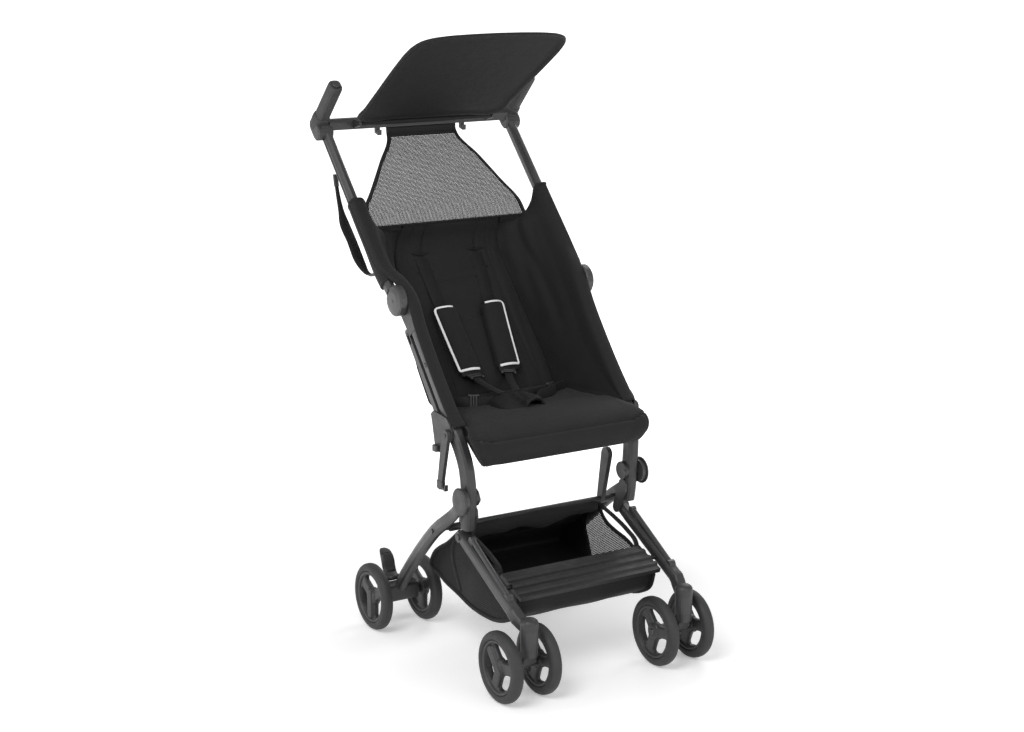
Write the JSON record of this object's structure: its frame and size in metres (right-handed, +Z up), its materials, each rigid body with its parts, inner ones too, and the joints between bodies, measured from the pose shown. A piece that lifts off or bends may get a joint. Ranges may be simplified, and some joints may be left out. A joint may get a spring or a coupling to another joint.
{
  "type": "travel stroller",
  "caption": "Compact folding travel stroller with sling seat, harness, flat visor, mesh head panel, storage basket, footrest, swivelling twin front wheels and a linked fold.",
  "frame": {"origin": "centre of the bounding box on the floor, under the seat", "axes": "+Z up, -Y the way the child faces and the stroller rolls forward, +X the child's left"},
  "size_m": [0.4632, 0.7188, 1.1115],
  "materials": {
    "frame": "satin dark grey powder coat",
    "plastic": "satin moulded",
    "grip": "matt foam rubber",
    "tyre": "matt moulded",
    "fabric": "woven charcoal polyester",
    "mesh": "light grey open net",
    "webbing": "ribbed black webbing",
    "pad": "padded cloth with white piping"
  },
  "bodies": {
    "chassis": {"lower_tube_left": "frame", "lower_tube_right": "frame", "pivot_housing_left": "plastic", "pivot_housing_right": "plastic", "front_upper_leg_left": "plastic", "front_upper_leg_right": "plastic", "rear_pivot_cap_left": "plastic", "rear_pivot_cap_right": "plastic", "seat_bracket_left": "plastic", "seat_bracket_right": "plastic", "seat_frame": "frame", "seat_base": "fabric", "seat_back": "fabric", "side_wing_left": "fabric", "side_wing_right": "fabric", "shoulder_strap_left": "webbing", "shoulder_strap_right": "webbing", "shoulder_pad_left": "pad", "shoulder_pad_right": "pad", "waist_strap": "webbing", "crotch_strap": "webbing", "crotch_pad": "pad", "buckle": "plastic"},
    "handle_frame": {"upper_tube_left": "frame", "upper_tube_right": "frame", "crossbar": "plastic", "grip_left": "grip", "grip_right": "grip", "head_mesh": "mesh", "carry_strap": "webbing"},
    "canopy_body": {"canopy": "fabric"},
    "rear_frame": {"rear_leg_left": "frame", "rear_leg_right": "frame", "rear_hub_left": "plastic", "rear_hub_right": "plastic", "basket": "fabric"},
    "strut_frame": {"basket_bar": "plastic"},
    "front_frame": {"front_leg_left": "frame", "front_leg_right": "frame", "footrest": "plastic", "caster_socket_left": "plastic", "caster_socket_right": "plastic"},
    "buckle_press": {"buckle_button": "plastic"},
    "pedal": {"brake_pedal": "plastic"},
    "latch_left": {"latch_link_left": "plastic"},
    "lock_bar_left": {"side_bar_left": "frame"},
    "button_left": {"release_button_left": "plastic"},
    "latch_right": {"latch_link_right": "plastic"},
    "lock_bar_right": {"side_bar_right": "frame"},
    "button_right": {"release_button_right": "plastic"},
    "caster_left": {"caster_fork_left": "plastic"},
    "rear_inner_wheel_left": {"rear_wheel_left_inner": "tyre"},
    "front_inner_wheel_left": {"front_wheel_left_inner": "tyre"},
    "rear_outer_wheel_left": {"rear_wheel_left_outer": "tyre"},
    "front_outer_wheel_left": {"front_wheel_left_outer": "tyre"},
    "caster_right": {"caster_fork_right": "plastic"},
    "rear_inner_wheel_right": {"rear_wheel_right_inner": "tyre"},
    "front_inner_wheel_right": {"front_wheel_right_inner": "tyre"},
    "rear_outer_wheel_right": {"rear_wheel_right_outer": "tyre"},
    "front_outer_wheel_right": {"front_wheel_right_outer": "tyre"}
  },
  "joints": [
    {"name": "handle_fold", "type": "hinge", "parent": "chassis", "child": "handle_frame", "pos_m": [0, 0.0601, 0.6415], "axis": [1, 0, 0], "range_deg": [0, 140], "deforming": ["side_wing_left", "side_wing_right", "head_mesh", "carry_strap"]},
    {"name": "rear_leg_fold", "type": "hinge", "parent": "chassis", "child": "rear_frame", "pos_m": [0, -0.1469, 0.317], "axis": [1, 0, 0], "range_deg": [0, 68], "deforming": ["basket"]},
    {"name": "front_leg_fold", "type": "hinge", "parent": "chassis", "child": "front_frame", "pos_m": [0, -0.1199, 0.2435], "axis": [1, 0, 0], "range_deg": [0, 153]},
    {"name": "strut_fold", "type": "hinge", "parent": "rear_frame", "child": "strut_frame", "pos_m": [0, -0.0819, 0.25], "axis": [1, 0, 0], "range_deg": [0, 22.5]},
    {"name": "latch_link_fold_left", "type": "hinge", "parent": "chassis", "child": "latch_left", "pos_m": [0.2007, -0.1139, 0.431], "axis": [-1, 0, 0], "range_deg": [0, 32.5]},
    {"name": "side_bar_slide_left", "type": "slide", "parent": "chassis", "child": "lock_bar_left", "axis": [0, 0.6451, 0.7641], "range_m": [0, 0.0175]},
    {"name": "release_press_left", "type": "slide", "parent": "handle_frame", "child": "button_left", "axis": [0, 0.7016, -0.7126], "range_m": [0, 0.004], "stiffness_N_per_m": 300},
    {"name": "latch_link_fold_right", "type": "hinge", "parent": "chassis", "child": "latch_right", "pos_m": [-0.2007, -0.1139, 0.431], "axis": [-1, 0, 0], "range_deg": [0, 32.5]},
    {"name": "side_bar_slide_right", "type": "slide", "parent": "chassis", "child": "lock_bar_right", "axis": [0, 0.6451, 0.7641], "range_m": [0, 0.0175]},
    {"name": "release_press_right", "type": "slide", "parent": "handle_frame", "child": "button_right", "axis": [0, 0.7016, -0.7126], "range_m": [0, 0.004], "stiffness_N_per_m": 300},
    {"name": "canopy_tilt", "type": "hinge", "parent": "handle_frame", "child": "canopy_body", "pos_m": [0, 0.3021, 0.935], "axis": [-1, 0, 0], "range_deg": [-30, 45]},
    {"name": "buckle_press_in", "type": "slide", "parent": "chassis", "child": "buckle_press", "axis": [0, 1, 0], "range_m": [0, 0.003], "stiffness_N_per_m": 300},
    {"name": "brake_press", "type": "hinge", "parent": "rear_frame", "child": "pedal", "pos_m": [-0.169, 0.1481, 0.086], "axis": [-1, 0, 0], "range_deg": [0, 20]},
    {"name": "caster_swivel_left", "type": "hinge", "parent": "front_frame", "child": "caster_left", "pos_m": [0.163, -0.3269, 0.101], "axis": [0, 0, 1], "continuous": true},
    {"name": "rear_wheel_spin_left_inner", "type": "hinge", "parent": "rear_frame", "child": "rear_inner_wheel_left", "pos_m": [0.1155, 0.1301, 0.0635], "axis": [1, 0, 0], "continuous": true},
    {"name": "front_wheel_spin_left_inner", "type": "hinge", "parent": "caster_left", "child": "front_inner_wheel_left", "pos_m": [0.1244, -0.2969, 0.0635], "axis": [1, 0, 0], "continuous": true},
    {"name": "rear_wheel_spin_left_outer", "type": "hinge", "parent": "rear_frame", "child": "rear_outer_wheel_left", "pos_m": [0.2214, 0.1301, 0.0635], "axis": [1, 0, 0], "continuous": true},
    {"name": "front_wheel_spin_left_outer", "type": "hinge", "parent": "caster_left", "child": "front_outer_wheel_left", "pos_m": [0.2015, -0.2969, 0.0635], "axis": [1, 0, 0], "continuous": true},
    {"name": "caster_swivel_right", "type": "hinge", "parent": "front_frame", "child": "caster_right", "pos_m": [-0.163, -0.3269, 0.101], "axis": [0, 0, 1], "continuous": true},
    {"name": "rear_wheel_spin_right_inner", "type": "hinge", "parent": "rear_frame", "child": "rear_inner_wheel_right", "pos_m": [-0.1155, 0.1301, 0.0635], "axis": [1, 0, 0], "continuous": true},
    {"name": "front_wheel_spin_right_inner", "type": "hinge", "parent": "caster_right", "child": "front_inner_wheel_right", "pos_m": [-0.1244, -0.2969, 0.0635], "axis": [1, 0, 0], "continuous": true},
    {"name": "rear_wheel_spin_right_outer", "type": "hinge", "parent": "rear_frame", "child": "rear_outer_wheel_right", "pos_m": [-0.2214, 0.1301, 0.0635], "axis": [1, 0, 0], "continuous": true},
    {"name": "front_wheel_spin_right_outer", "type": "hinge", "parent": "caster_right", "child": "front_outer_wheel_right", "pos_m": [-0.2015, -0.2969, 0.0635], "axis": [1, 0, 0], "continuous": true}
  ],
  "couplings": [
    {"joint": "rear_leg_fold", "follows": "handle_fold", "ratio": 0.48},
    {"joint": "front_leg_fold", "follows": "handle_fold", "ratio": 1.09},
    {"joint": "strut_fold", "follows": "handle_fold", "ratio": 0.158},
    {"joint": "latch_link_fold_left", "follows": "handle_fold", "ratio": 0.229},
    {"joint": "side_bar_slide_left", "follows": "handle_fold", "m_per_rad": 0.00696},
    {"joint": "latch_link_fold_right", "follows": "handle_fold", "ratio": 0.229},
    {"joint": "side_bar_slide_right", "follows": "handle_fold", "m_per_rad": 0.00696}
  ]
}
